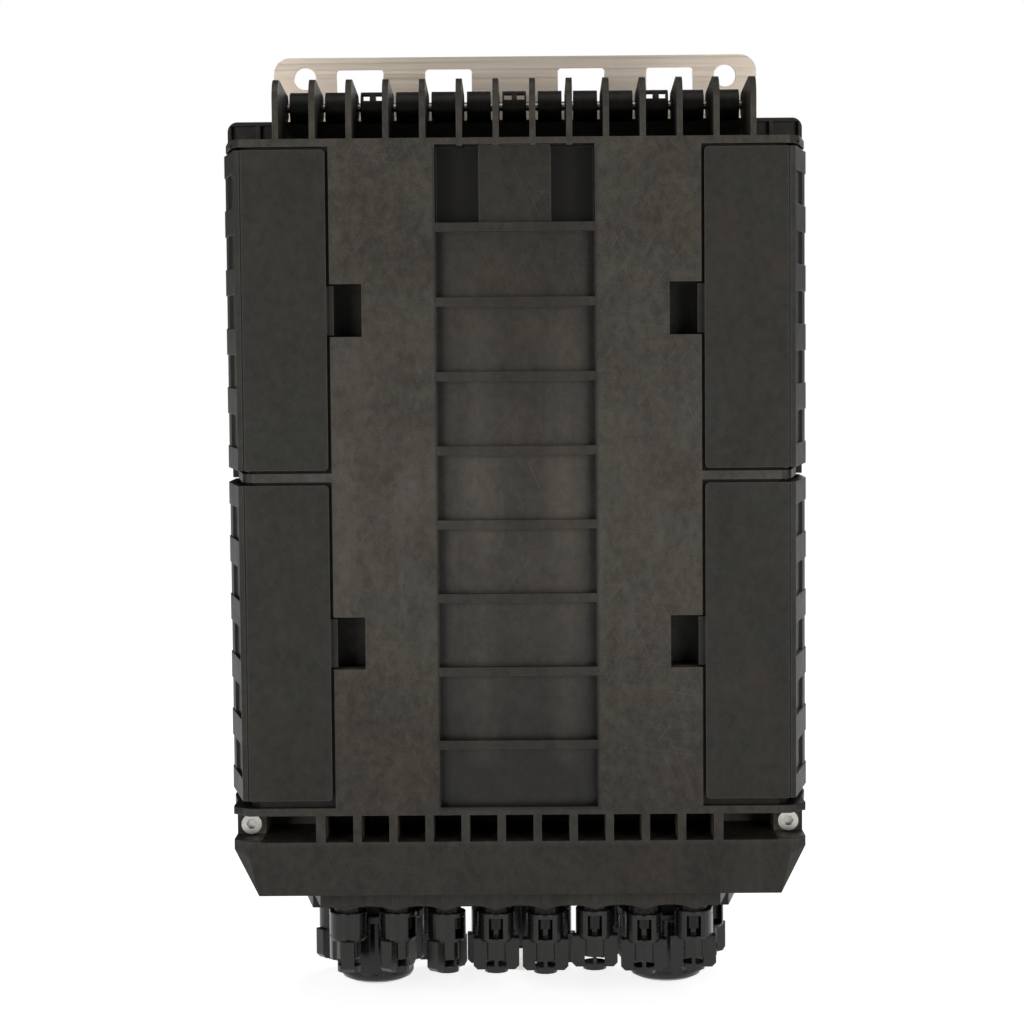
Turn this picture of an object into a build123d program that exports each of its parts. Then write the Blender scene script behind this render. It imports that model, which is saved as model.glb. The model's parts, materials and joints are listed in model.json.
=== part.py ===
from build123d import *
import math
import os

# Fibre optic splice box for a wall or a pole. All sizes are in millimetres.
# X runs along the width, the front faces -Y and Z is up. The origin is on the rear face
# of the mounting bracket, midway between its two bolt holes.

# Overall sizes
box_width = 198.6
cover_depth = 37.5
parting_depth = 60.0
wall = 3.0
running_gap = 0.6
fit_gap = 0.05
seat_gap = 0.3
few_sides = 12
many_sides = 24

# Mounting bracket
bracket_width = 176.6
bracket_sheet = 2.0
bracket_top_z = 7.6
bracket_height = 112.0
bracket_corner_r = 6.0
bolt_spacing = 153.8
bolt_hole_r = 4.0
slot_width = 17.0
slot_height = 12.0
slot_centres = (24.3, 56.7)
slot_top_drop = 4.5
bracket_screw_x = 60.0
bracket_screw_drops = (50.0, 95.0)
bracket_screw_r = 2.0
bracket_standoff = 3.0
countersink = 1.8

# Cover and its front face
cover_top_z = -29.3
cover_height = 226.0
cover_recess = 0.5
cover_flange_y = 8.0
latch_reach = 37.6
seat_inset = 3.2
seat_bevel = 2.4
flange_gap = 1.0
strip_inset = 0.6
strip_flare = 7.7
strip_bevel = 3.5
strip_height = 2.6
strip_gap = 1.0
mid_strip_height = 3.0
mid_strip_step = 0.5
bottom_strip_height = 2.6
bottom_strip_gap = 2.6

# Ladder recess down the middle of the cover
ladder_half = 26.5
ladder_top_drop = 2.1
ladder_bottom_rise = 1.4
ladder_depth = 4.0
ladder_crown = 1.1
rung_height = 3.0
rung_pitch = 24.7
first_rung_drop = 29.4
deep_pocket_from = 12.0
deep_pocket_depth = 13.0

# Pry notches beside the latches
notch_width = 10.6
notch_height = 17.5
notch_depth = 15.0
notch_under_latch = 4.6
catch_reach = 2.3
catch_depth = 2.2
pocket_wall = 2.0

# Latches
latch_sheet = 2.9
latch_side_sheet = 1.4
latch_rib = 1.5
latch_lip_gap = 1.0
latch_corner_r = 1.4
latch_flare = 8.7
latch_groove = 0.5
latch_band = 1.8
latch_shoulder = 0.35
latch_rod_back = 14.0
latch_rod_r = 1.5
knuckle_r = 4.0
window_pitch = 20.0
window_height = 11.1
lug_height = 3.2

# Hinge at the top
arm_count = 14
arm_pitch = 12.15
arm_thickness = 2.0
arm_side_gap = 1.0
arm_rise = 20.0
arm_front_r = 7.0
barrel_r = 5.3
arm_eye_r = 4.2
hinge_rise = 13.3
hinge_pin_r = 1.5
slotted_gaps = (2, 6, 10)

# Base tub
base_back_y = -5.0
base_inset = 11.9
base_taper = 3.4
base_rise = 5.3
base_flange_thickness = 4.5
top_flange_rise = 8.8
top_flange_inset = 0.4
top_flange_corner_r = 3.4
rim = 1.3
rim_pocket_depth = 2.2
gasket_width = 3.0
gasket_depth = 2.5
gasket_inset = 1.4
back_rib = 2.0
back_rib_width = 2.0
back_rib_drop = 25.6
back_rib_pitch = 55.0
back_rib_x = 40.0
back_rib_end = 5.3
boss_r = 5.0
corner_pocket = 10.7
corner_pocket_inner = 6.5

# Hood and skirt over the port block
hood_pocket_height = 9.0
hood_pocket_width = 9.3
hood_pocket_pitch = 12.12
hood_long_pocket = 18.4
hood_corner = 10.7
skirt_height = 18.1
skirt_inset = 2.7
skirt_taper = 8.7
skirt_straight = 3.0
skirt_bevel = 5.6
skirt_bevel_drop = 2.0
skirt_side = 5.9

# Port block
port_block_inset = 4.7
port_block_taper = 9.4
port_block_wide = 20.0
port_block_recess = 7.5
port_wall = 2.3
block_clearance = 0.7
front_floor_drop = 20.3
mid_floor_drop = 26.2
rear_floor_drop = 30.2
front_step = 9.0
rear_step = 11.5
apron = 1.6
apron_rise = 1.6
port_rib = 0.5
port_rib_width = 2.2
front_row_back = 16.0
rear_row_front = 12.0
port_spacing = 17.0
front_row_edge = 8.4
rear_row_edge = 9.4
rear_middle_gap = 23.9
main_edge = 16.4

# Drop port adapters and plugs
adapter_r = 5.0
adapter_bore_r = 3.4
adapter_inside = 12.0
adapter_outside = 11.0
adapter_flange_r = 6.6
adapter_flange = 1.6
adapter_seal = 1.0
adapter_key = 0.2
adapter_key_x = 1.2
adapter_key_half = 0.4
lock_nut_across = 11.6
lock_nut_height = 4.0
plug_r = 6.5
plug_inner_r = 5.8
plug_top_drop = 4.1
plug_collar_height = 9.3
plug_window_width = 4.9
plug_window_height = 7.1
plug_window_rise = 0.6
plug_floor = 0.3
plug_rim = 0.8
plug_pin_gap = 0.3
plug_pin_length = 6.0
plug_stem_r = 4.1
plug_stem_length = 11.8
plug_wing_r = 7.9
plug_wing_rise = 0.9
plug_wing_thickness = 4.4
plug_wing_corner = 1.4
eye_width = 6.9
eye_height = 2.2
eye_post = 1.2
eye_rise = 2.4
plug_turns = {"front_1": 90.0, "front_2": 60.0, "front_3": 50.0, "rear_1": 40.0, "rear_8": 40.0}
plug_drops = {"front_1": 0.8, "front_2": 0.8, "front_3": 1.1, "front_4": 1.2, "front_5": 1.6,
              "front_6": 0.4, "front_7": 1.9, "front_8": 0.7, "rear_3": 1.6, "rear_4": 3.0, "rear_5": 3.0}

# Main ports and the valve
main_neck_r = 14.5
main_bore_r = 11.0
main_neck_length = 14.0
main_cap_r = 17.0
main_cap_drop = 4.0
main_collar_height = 17.6
main_barrel_r = 13.0
main_barrel_height = 5.2
main_cap_dome = 3.7
main_cap_rim = 2.4
main_neck_gap = 0.4
main_seal = 2.0
grip_count = 12
grip_depth = 0.9
valve_r = 4.0
valve_stem_r = 2.45
valve_gap = 0.1
valve_flange = 3.0
valve_nut = 2.5
valve_cap_drop = 18.5
valve_length = 22.0
valve_barrel = 18.0
valve_hex_across = 10.0
valve_cap_r = 4.2
valve_cap_height = 9.0

# Cover lock screws
lock_screw_inset = 7.9
lock_screw_drop = 4.8
corner_ear_inset = 2.1
lock_head_r = 3.5
lock_head_height = 4.0
lock_shank_r = 2.0
lock_screw_depth = 16.0
lock_screw_hold = 6.0
hex_across = 3.0

# Splice trays and what holds them
tray_count = 3
tray_side_gap = 12.0
tray_height = 112.0
tray_depth = 8.0
tray_wall = 1.6
tray_pitch = 9.0
tray_back_gap = 5.0
tray_top_drop = 14.0
tray_corner_r = 8.0
spool_inset = 32.0
spool_r = 19.0
spool_rise = 12.0
spool_sheet = 1.4
spool_gap = 6.0
entry_inset = 14.0
entry_width = 10.0
tray_ear = 6.0
tray_ear_inset = 16.0
tray_eye_r = 2.4
tray_pin_r = 1.2
tray_pin_inset = 3.0
tray_pin_rise = 5.0
cheek = 3.0
cheek_gap = 0.4
lid_sheet = 1.2
holder_width = 46.0
holder_height = 26.0
holder_depth = 4.0
holder_sheet = 1.0
holder_rise = 8.0
holder_rib = 1.2
holder_slots = 12
carrier_margin = 4.0
carrier_sheet = 3.0
carrier_top_drop = 24.0
carrier_bottom_rise = 27.3
carrier_standoff = 6.0
carrier_window_half = 30.0
carrier_window_drop = 42.0
carrier_window_height = 60.0
carrier_screw_inset = 7.0
carrier_screw_end = 9.0
carrier_screw_r = 1.5
hook_x = 24.0
hook_rise = 35.0
hook_r = 12.0
hook_sheet = 2.0
hook_depth = 16.0
hook_tab = 5.0
strap_width = 16.0
strap_sheet = 1.2
strap_rise = 20.0
clamp_width = 26.0
clamp_height = 18.0
clamp_rise = 27.0
clamp_bore_r = 9.0
clamp_bar_sheet = 3.0
clamp_screw_x = 11.0
clamp_screw_r = 1.2
clamp_screw_length = 12.0

# Half widths that follow from the box's width
half_width = box_width / 2
panel_half = half_width - latch_reach
latch_face_half = half_width - latch_flare
seat_half = latch_face_half - seat_inset
flange_half = half_width - latch_rib - latch_side_sheet - flange_gap
strip_half = half_width - strip_inset
mid_strip_half = flange_half + mid_strip_step
latch_rod_x = half_width - knuckle_r - running_gap
top_flange_half = half_width - top_flange_inset
corner_rib_x = top_flange_half - corner_pocket
base_half_front = half_width - base_inset
base_half_back = base_half_front - base_taper
skirt_half_top = half_width - skirt_inset
skirt_half_bottom = skirt_half_top - skirt_taper
hood_inner_half = skirt_half_bottom - skirt_side
port_block_rear_half = hood_inner_half - port_block_inset
port_block_front_half = port_block_rear_half - port_block_taper
main_x = port_block_front_half - main_edge
lock_screw_x = half_width - lock_screw_inset
corner_ear_half = half_width - corner_ear_inset
tray_half = base_half_back - 2 * wall - tray_side_gap
spool_x = tray_half - spool_inset
entry_x = tray_half - entry_inset
tray_ear_x = tray_half - tray_ear_inset
carrier_half = tray_half + carrier_margin

# Planes from front to back
box_depth = parting_depth + cover_depth
front_y = -box_depth
cover_front_y = front_y + cover_recess
parting_y = -parting_depth
cover_back_y = parting_y - seat_gap
seat_y = front_y + latch_sheet + running_gap
flare_y = parting_y - cover_flange_y
latch_rod_y = parting_y + latch_rod_back
hinge_y = parting_y
port_block_front_y = front_y + port_block_recess
port_block_wide_y = parting_y + port_block_wide
front_row_y = port_block_front_y + front_row_back
rear_row_y = base_back_y - rear_row_front
main_row_y = (front_row_y + rear_row_y) / 2
front_step_y = front_row_y + front_step
rear_step_y = rear_row_y - rear_step
carrier_y = base_back_y - wall - carrier_standoff
lock_seat_y = cover_front_y + lock_screw_depth
tray_back_y = carrier_y - carrier_sheet - tray_back_gap

# Levels from top to bottom
arm_top_z = cover_top_z + arm_rise
hinge_z = cover_top_z + hinge_rise
top_flange_z = cover_top_z + top_flange_rise
base_top_z = cover_top_z + base_rise
cover_bottom_z = cover_top_z - cover_height
latch_length = (cover_height - strip_height - mid_strip_height - bottom_strip_height - 3 * strip_gap
                - bottom_strip_gap) / 2
upper_latch_top_z = cover_top_z - strip_height - strip_gap
mid_strip_top_z = upper_latch_top_z - latch_length - strip_gap
lower_latch_top_z = mid_strip_top_z - mid_strip_height - strip_gap
hood_roof_z = cover_bottom_z - hood_pocket_height
skirt_bottom_z = hood_roof_z - skirt_height
base_bottom_z = cover_bottom_z - hood_pocket_height - wall
front_floor_z = base_bottom_z - front_floor_drop
mid_floor_z = base_bottom_z - mid_floor_drop
rear_floor_z = base_bottom_z - rear_floor_drop
lock_screw_z = cover_bottom_z - lock_screw_drop
carrier_top_z = base_top_z - carrier_top_drop
carrier_bottom_z = base_bottom_z + carrier_bottom_rise
carrier_window_top_z = carrier_top_z - carrier_window_drop
tray_top_z = carrier_top_z - tray_top_drop
hook_z = carrier_bottom_z + hook_rise
clamp_z = carrier_bottom_z + clamp_rise
back_rib_top_z = bracket_top_z - bracket_height - back_rib_drop
back_rib_bottom_z = base_bottom_z + back_rib_end

# Repeated forms: their widths, pitches and how many have room
barrel_width = arm_pitch - arm_thickness - 2 * arm_side_gap
rung_count = int((cover_height - first_rung_drop) / rung_pitch) + 1
window_count = int((latch_length - window_height) / window_pitch) + 1
hood_pocket_count = 2 * int((skirt_half_top - hood_corner - hood_long_pocket) / hood_pocket_pitch) + 1
port_count = round((port_block_front_half - front_row_edge) * 2 / port_spacing) + 1
front_pitch = (port_block_front_half - front_row_edge) * 2 / (port_count - 1)
rear_pitch = (port_block_rear_half - rear_row_edge - rear_middle_gap / 2) / (port_count // 2 - 1)


def block(x0, x1, y0, y1, z0, z1):
    """A box between two corners."""
    size = (abs(x1 - x0), abs(y1 - y0), abs(z1 - z0))
    return Pos((x0 + x1) / 2, (y0 + y1) / 2, (z0 + z1) / 2) * Box(*size)


def bar(r, length, sides=0):
    """A cylinder, or a prism of that many sides for a small or hidden form, to keep its faces few."""
    if sides:
        return extrude(RegularPolygon(r, sides, rotation=180 / sides), length / 2, both=True)
    return Cylinder(r, length)


def rod_z(x, y, r, z0, z1, sides=0):
    """An upright bar."""
    return Pos(x, y, (z0 + z1) / 2) * bar(r, abs(z1 - z0), sides)


def rod_x(y, z, r, x0, x1, sides=0):
    """A bar along the width."""
    return Pos((x0 + x1) / 2, y, z) * Rot(0, 90, 0) * bar(r, abs(x1 - x0), sides)


def rod_y(x, z, r, y0, y1, sides=0):
    """A bar along the depth."""
    return Pos(x, (y0 + y1) / 2, z) * Rot(90, 0, 0) * bar(r, abs(y1 - y0), sides)


def dome(r, rise, z):
    """A shallow dome of conical rings that bulges down from z."""
    steps = [(r * math.cos(a), z - rise * math.sin(a)) for a in (0, 0.35, 0.7, 1.05, 1.35)]
    profile = [(0, z + 1), (r, z + 1), *steps, (0, z - rise)]
    return revolve(Plane.XZ * make_face(Polyline(*profile, close=True)), Axis.Z)


def prism_z(points, z0, z1):
    """A plan outline raised from z0 to z1."""
    face = make_face(Polyline(*points, close=True))
    return extrude(Pos(0, 0, min(z0, z1)) * face, abs(z1 - z0))


def prism_y(points, y0, y1):
    """A front outline, given as x and z, made solid from y0 to y1."""
    face = make_face(Polyline(*[(x, 0, z) for x, z in points], close=True))
    return Pos(0, min(y0, y1), 0) * extrude(face, abs(y1 - y0), dir=(0, 1, 0))


def keep_inside(body, corners):
    """The part of a body on the middle's side of the plane through three corners."""
    a, b, c = [Vector(*corner) for corner in corners]
    normal = (b - a).cross(c - a).normalized()
    if (body.center() - a).dot(normal) < 0:
        normal = -normal
    return split(body, bisect_by=Plane(origin=a, z_dir=normal), keep=Keep.TOP)


def mirrored(points):
    """A plan outline from its right half."""
    return [*points, *[(-x, y) for x, y in reversed(points)]]


def both_sides(shape):
    """A shape and its mirror image across the middle."""
    return shape + mirror(shape, about=Plane.YZ)


def group(shapes):
    """Separate solids kept in one node."""
    return Compound(children=[s for shape in shapes for s in shape.solids()])


def row_places(count, pitch):
    """Centres of a row of equal steps about the middle."""
    return [(n - (count - 1) / 2) * pitch for n in range(count)]


def plug_places():
    """Name, x, y and floor level of each drop port."""
    places = []
    for n, x in enumerate(row_places(port_count, front_pitch)):
        places.append((f"front_{n + 1}", x, front_row_y, front_floor_z))
    half = port_count // 2
    steps = [rear_middle_gap / 2 + n * rear_pitch for n in range(half)]
    for n, x in enumerate([-x for x in reversed(steps)] + steps):
        places.append((f"rear_{n + 1}", x, rear_row_y, rear_floor_z))
    return places


def latch_spans():
    """Top and bottom of the upper and the lower latches."""
    upper = (upper_latch_top_z, upper_latch_top_z - latch_length)
    lower = (lower_latch_top_z, lower_latch_top_z - latch_length)
    return {"upper": upper, "lower": lower}


def hinge_arm(x):
    """One curved arm of the cover, from its top edge back to the eye round the hinge pin."""
    front_top = arm_top_z - arm_front_r
    outline = [
        Line((cover_front_y, cover_top_z - strip_height), (cover_front_y, front_top)),
        CenterArc((cover_front_y + arm_front_r, front_top), arm_front_r, 90, 90),
        Line((cover_front_y + arm_front_r, arm_top_z), (hinge_y, hinge_z + arm_eye_r)),
        Line((hinge_y, hinge_z + arm_eye_r), (hinge_y, hinge_z - arm_eye_r)),
        Line((hinge_y, hinge_z - arm_eye_r), (cover_back_y - 6, cover_top_z)),
        Line((cover_back_y - 6, cover_top_z), (cover_back_y - 6, cover_top_z - strip_height)),
        Line((cover_back_y - 6, cover_top_z - strip_height), (cover_front_y, cover_top_z - strip_height)),
    ]
    face = Plane.YZ * make_face(outline)
    arm = extrude(Pos(x - arm_thickness / 2, 0, 0) * face, arm_thickness, dir=(1, 0, 0))
    arm += rod_x(hinge_y, hinge_z, arm_eye_r, x - arm_thickness / 2, x + arm_thickness / 2)
    return arm


def cover_plan():
    """Outer plan of the cover behind the latches."""
    return mirrored([
        (seat_half, seat_y),
        (seat_half + seat_bevel, seat_y + seat_bevel),
        (flange_half, flare_y),
        (flange_half, cover_back_y),
    ])


def strip_plan(half):
    """Plan of a cross strip, which follows the latches' bevelled outline."""
    front_half = half - strip_flare
    return mirrored([
        (front_half, cover_front_y),
        (front_half + strip_bevel, cover_front_y + strip_bevel),
        (half, flare_y),
        (half, cover_back_y),
    ])


def ladder_recess():
    """The recess between the rungs, with a crowned floor and two deep pockets at the top."""
    top = cover_top_z - ladder_top_drop
    bottom = cover_bottom_z + ladder_bottom_rise
    floor_y = cover_front_y + ladder_depth
    edge_y = floor_y + ladder_crown
    face = make_face(
        Polyline((ladder_half, edge_y), (ladder_half, front_y - 1), (-ladder_half, front_y - 1),
                 (-ladder_half, edge_y))
        + ThreePointArc((-ladder_half, edge_y), (0, floor_y), (ladder_half, edge_y))
    )
    recess = extrude(Pos(0, 0, bottom) * face, top - bottom)
    rungs = [cover_top_z - first_rung_drop - n * rung_pitch for n in range(rung_count)]
    recess -= [block(-ladder_half, ladder_half, front_y - 2, 0, z - rung_height / 2, z + rung_height / 2)
               for z in rungs]
    low = cover_top_z - first_rung_drop + rung_height / 2
    deep = block(deep_pocket_from, ladder_half, front_y - 1, cover_front_y + deep_pocket_depth, low, top)
    return recess + both_sides(deep)


def deep_pocket_walls():
    """Extra walls inside the cover round the two deep pockets of the ladder."""
    low = cover_top_z - first_rung_drop + rung_height / 2 - pocket_wall
    return both_sides(block(deep_pocket_from - pocket_wall, ladder_half + pocket_wall, cover_front_y + 1,
                            cover_front_y + deep_pocket_depth + pocket_wall, low, cover_top_z - 1))


def pry_notches(grow=0.0):
    """The four notches for a screwdriver, or the blocks that form their walls."""
    notches = []
    for top, bottom in latch_spans().values():
        middle = (top + bottom) / 2
        notches.append(block(panel_half - notch_width - grow, panel_half + notch_under_latch + grow,
                             front_y - 1 if grow == 0 else seat_y + 1,
                             cover_front_y + notch_depth + grow,
                             middle - notch_height / 2 - grow, middle + notch_height / 2 + grow))
    return both_sides(notches[0] + notches[1])


def hood():
    """Cored lower end of the cover and the bevelled skirt in front of the port block."""
    top = cover_bottom_z + bottom_strip_height
    slant_top = hood_roof_z - skirt_straight
    outline = [(skirt_half_top, top), (skirt_half_top, slant_top), (skirt_half_bottom, skirt_bottom_z)]
    body = prism_y(mirrored(outline), cover_front_y, cover_back_y)
    front_x, back_y = skirt_half_top - skirt_bevel, cover_front_y + skirt_bevel
    bevel_end = (front_x, cover_front_y, slant_top - skirt_bevel_drop)
    upright = [(front_x, cover_front_y, top), bevel_end, (skirt_half_top, back_y, top)]
    slanted = [bevel_end, (skirt_half_bottom, cover_front_y, skirt_bottom_z),
               (skirt_half_top, back_y, slant_top)]
    for corners in (upright, slanted):
        for side in (-1, 1):
            body = keep_inside(body, [(side * x, y, z) for x, y, z in corners])
    body -= block(-hood_inner_half, hood_inner_half, cover_front_y + wall, 0, hood_roof_z - wall,
                  skirt_bottom_z - 1)
    pocket_front = cover_front_y - 1
    body -= [block(x - hood_pocket_width / 2, x + hood_pocket_width / 2, pocket_front,
                   cover_back_y - wall, hood_roof_z, cover_bottom_z)
             for x in row_places(hood_pocket_count, hood_pocket_pitch)]
    inner = (hood_pocket_count / 2 + 0.15) * hood_pocket_pitch
    long_pocket = block(inner, inner + hood_long_pocket, pocket_front, cover_back_y - wall, hood_roof_z,
                        cover_bottom_z)
    corner = block(inner + hood_long_pocket - 1, box_width, pocket_front,
                   lock_seat_y, hood_roof_z + 0.3, cover_bottom_z)
    return body - both_sides(long_pocket + corner)


def build_cover():
    """The front half of the box, moulded in one piece with its hinge arms and hood."""
    shell = prism_z(cover_plan(), cover_bottom_z, cover_top_z)
    shell += block(-panel_half, panel_half, cover_front_y, seat_y + 1, cover_bottom_z, cover_top_z)
    strips = [
        (cover_top_z, strip_height, strip_half),
        (mid_strip_top_z, mid_strip_height, mid_strip_half),
        (cover_bottom_z + bottom_strip_height, bottom_strip_height, strip_half),
    ]
    for top, height, half in strips:
        shell += prism_z(strip_plan(half), top - height, top)
    inner = mirrored([
        (seat_half - wall, seat_y + wall),
        (seat_half + seat_bevel - wall, seat_y + seat_bevel + wall),
        (flange_half - 2 * wall, flare_y),
        (flange_half - 2 * wall, 0),
    ])
    low = cover_bottom_z + bottom_strip_height
    high = cover_top_z - strip_height - wall
    cavity = prism_z(inner, low, high)
    ladder_back_y = cover_front_y + ladder_depth + ladder_crown + pocket_wall
    cavity -= block(-ladder_half - wall, ladder_half + wall, front_y, ladder_back_y, low, high)
    cavity += both_sides(block(ladder_half + wall, panel_half - wall, cover_front_y + wall, seat_y + wall + 1,
                               low, high))
    cavity -= deep_pocket_walls()
    cavity -= pry_notches(grow=pocket_wall)
    shell -= cavity
    shell -= ladder_recess()
    shell -= pry_notches()
    shell += hood()
    shell += [hinge_arm(x) for x in row_places(arm_count, arm_pitch)]
    holes = [rod_y(side * lock_screw_x, lock_screw_z, lock_shank_r + 0.3, -box_depth, 0, few_sides)
             for side in (-1, 1)]
    return shell - [rod_x(hinge_y, hinge_z, hinge_pin_r + fit_gap, -box_width, box_width, few_sides), *holes]


def build_gasket():
    """The soft ring that seals the two halves, also the shape of its groove in the base."""
    half = flange_half - gasket_inset
    top = cover_top_z - gasket_inset
    bottom = cover_bottom_z - seat_gap
    outer = block(-half, half, parting_y + gasket_depth, cover_back_y, bottom, top)
    hole = block(-half + gasket_width, half - gasket_width, -box_depth, 0, bottom + gasket_width,
                 top - gasket_width)
    return outer - hole


def base_barrels():
    """Hinge barrels between the cover's arms, three of them slotted either side of a post."""
    barrels = []
    for n, x in enumerate(row_places(arm_count - 1, arm_pitch)):
        low, high = x - barrel_width / 2, x + barrel_width / 2
        barrel = rod_x(hinge_y, hinge_z, barrel_r, low, high)
        barrel += block(low, high, hinge_y - 1.5, parting_y + base_flange_thickness, hinge_z,
                        top_flange_z - 0.5)
        if n in slotted_gaps:
            slot = block(low + 0.6, x - 0.9, hinge_y - 9, hinge_y + 9, hinge_z + hinge_pin_r + 0.5,
                         hinge_z + barrel_r - 1.2)
            barrel -= slot + mirror(slot, about=Plane.YZ.offset(x))
        barrels.append(barrel)
    return barrels


def latch_lugs():
    """Lugs on the base's sides that hold the latch rods at their ends and in the middle."""
    reach = knuckle_r + 0.2
    lugs = []
    for top, height in ((cover_top_z, lug_height), (mid_strip_top_z, mid_strip_height),
                        (cover_bottom_z + bottom_strip_height, lug_height)):
        lug = rod_z(latch_rod_x, latch_rod_y, reach, top - height, top, many_sides)
        lug += block(base_half_back - 1, latch_rod_x, parting_y + 1, latch_rod_y + reach, top - height, top)
        lug += block(latch_rod_x - 1, latch_rod_x + reach, parting_y + 1, latch_rod_y, top - height, top)
        lugs.append(lug)
    return both_sides(lugs[0] + lugs[1] + lugs[2])


def port_block_plan(inset=0.0):
    """Plan of the port block, a little wider at the back."""
    return mirrored([
        (port_block_front_half - inset, port_block_front_y + inset),
        (port_block_rear_half - inset, port_block_wide_y),
        (port_block_rear_half - inset, base_back_y - inset),
    ])


def port_block(inset=0.0):
    """The port block, or its hollow, with a floor that steps down towards the back."""
    shape = prism_z(port_block_plan(inset), rear_floor_z + inset, base_bottom_z + wall)
    shape -= block(-box_width, box_width, -box_depth, parting_y + inset,
                   base_bottom_z - block_clearance - inset, 0)
    shape -= block(-box_width, box_width, -box_depth, front_step_y + inset, front_floor_z + inset,
                   rear_floor_z - 1)
    shape -= block(-box_width, box_width, -box_depth, rear_step_y + inset, mid_floor_z + inset,
                   rear_floor_z - 1)
    return shape


def port_block_front():
    """Upright ribs on the port block's front and its scalloped lower edge."""
    edge = block(-port_block_front_half, port_block_front_half, port_block_front_y,
                 port_block_front_y + wall - 1, front_floor_z + 1, front_floor_z - apron)
    arch_r = ((front_pitch / 2) ** 2 + apron_rise ** 2) / (2 * apron_rise)
    edge -= [rod_y(x, front_floor_z - apron + apron_rise - arch_r, arch_r, port_block_front_y - 1,
                   port_block_front_y + wall) for x in row_places(port_count + 1, front_pitch)]
    edge += [block(x - port_rib_width / 2, x + port_rib_width / 2, port_block_front_y - port_rib,
                   port_block_front_y + 1, front_floor_z + 0.5, base_bottom_z - 2)
             for x in row_places(2 * port_count - 1, front_pitch / 2)]
    return edge


def bracket_screw_places():
    """Where the bracket is screwed to the base, as x and z."""
    return [(side * bracket_screw_x, bracket_top_z - drop) for drop in bracket_screw_drops
            for side in (-1, 1)]


def carrier_screw_places():
    """Where the tray carrier is screwed to the base, as x and z."""
    levels = (carrier_top_z - carrier_screw_end, carrier_bottom_z + carrier_screw_end)
    return [(side * (carrier_half - carrier_screw_inset), z) for z in levels for side in (-1, 1)]


def build_base():
    """The rear tub with its flange, hinge barrels, latch lugs and port block."""
    back_inner = base_back_y - wall
    flange_back = parting_y + base_flange_thickness
    tub = prism_z(mirrored([(base_half_back - wall, base_back_y), (base_half_back, base_back_y - wall),
                            (base_half_front, parting_y + 1)]), base_bottom_z, base_top_z)
    top_plate = block(-top_flange_half, top_flange_half, parting_y, flange_back,
                      cover_top_z - strip_height, top_flange_z)
    corners = [e for e in top_plate.edges().filter_by(Axis.Y) if e.center().Z > top_flange_z - 0.1]
    top_plate = fillet(corners, top_flange_corner_r)
    tub += top_plate
    tub += block(-flange_half, flange_half, parting_y, flange_back, base_bottom_z, cover_top_z)
    tub += block(-corner_ear_half, corner_ear_half, parting_y, flange_back, base_bottom_z,
                 cover_bottom_z + bottom_strip_height - lug_height)
    tub += port_block()
    tub += latch_lugs()
    rib = back_rib_width / 2
    back_rib_zs = [back_rib_top_z - n * back_rib_pitch
                   for n in range(int((back_rib_top_z - back_rib_bottom_z) / back_rib_pitch) + 1)]
    tub += [block(-base_half_back + 6, base_half_back - 6, base_back_y - 1, base_back_y + back_rib,
                  z - rib, z + rib) for z in back_rib_zs]
    tub += [block(side * back_rib_x - rib, side * back_rib_x + rib, base_back_y - 1,
                  base_back_y + back_rib, back_rib_top_z + 15, back_rib_bottom_z) for side in (-1, 1)]
    cavity = prism_z(mirrored([(base_half_back - 2 * wall, back_inner),
                               (base_half_back - wall, back_inner - wall),
                               (base_half_front - wall, flange_back)]),
                     base_bottom_z + wall, base_top_z - wall)
    opening_top = cover_top_z - 2 * gasket_inset - gasket_width - 1
    cavity += block(-base_half_front + wall, base_half_front - wall, parting_y - 1, flange_back + 1,
                    cover_bottom_z + bottom_strip_height + 1, opening_top)
    cavity += port_block(inset=port_wall)
    tub -= cavity
    tub += port_block_front()
    tub += [rod_y(x, z, boss_r, back_inner - boss_r, base_back_y + bracket_standoff, many_sides)
            for x, z in bracket_screw_places()]
    tub += [rod_y(x, z, boss_r - 1, back_inner + 1, carrier_y, few_sides) for x, z in carrier_screw_places()]
    tub += [rod_y(side * lock_screw_x, lock_screw_z, lock_head_r, flange_back - 1,
                  flange_back + lock_screw_hold, few_sides) for side in (-1, 1)]
    tub += [rod_z(side * main_x, main_row_y, main_neck_r, mid_floor_z - main_neck_length, mid_floor_z + 1,
                  many_sides) for side in (-1, 1)]
    tub += base_barrels()
    return tub - [build_gasket(), *base_holes(), *corner_pockets()]


def base_holes():
    """Bores in the base for screws, rods, the hinge pin, the adapters, the valve and the main cables."""
    back_inner = base_back_y - wall
    flange_back = parting_y + base_flange_thickness
    holes = [rod_x(hinge_y, hinge_z, hinge_pin_r + fit_gap, -box_width, box_width, few_sides),
             rod_z(0, main_row_y, valve_r + fit_gap, mid_floor_z - 1, mid_floor_z + wall + 1, few_sides)]
    for x, z in bracket_screw_places():
        holes.append(rod_y(x, z, bracket_screw_r + fit_gap, 0, back_inner - boss_r + 1, few_sides))
    for x, z in carrier_screw_places():
        holes.append(rod_y(x, z, carrier_screw_r + fit_gap, back_inner - 0.5, carrier_y - 1, few_sides))
    for side in (-1, 1):
        holes.append(rod_z(side * latch_rod_x, latch_rod_y, latch_rod_r + fit_gap, cover_bottom_z - 1, 0))
        holes.append(rod_y(side * lock_screw_x, lock_screw_z, lock_shank_r + fit_gap, -box_depth,
                           flange_back + lock_screw_hold - 1, few_sides))
        holes.append(rod_z(side * main_x, main_row_y, main_bore_r, mid_floor_z - main_neck_length - 1,
                           mid_floor_z + wall + 1, many_sides))
    for _, x, y, floor in plug_places():
        holes.append(rod_z(x, y, adapter_r + fit_gap, floor - 1, floor + port_wall + 1, few_sides))
    return holes


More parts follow.
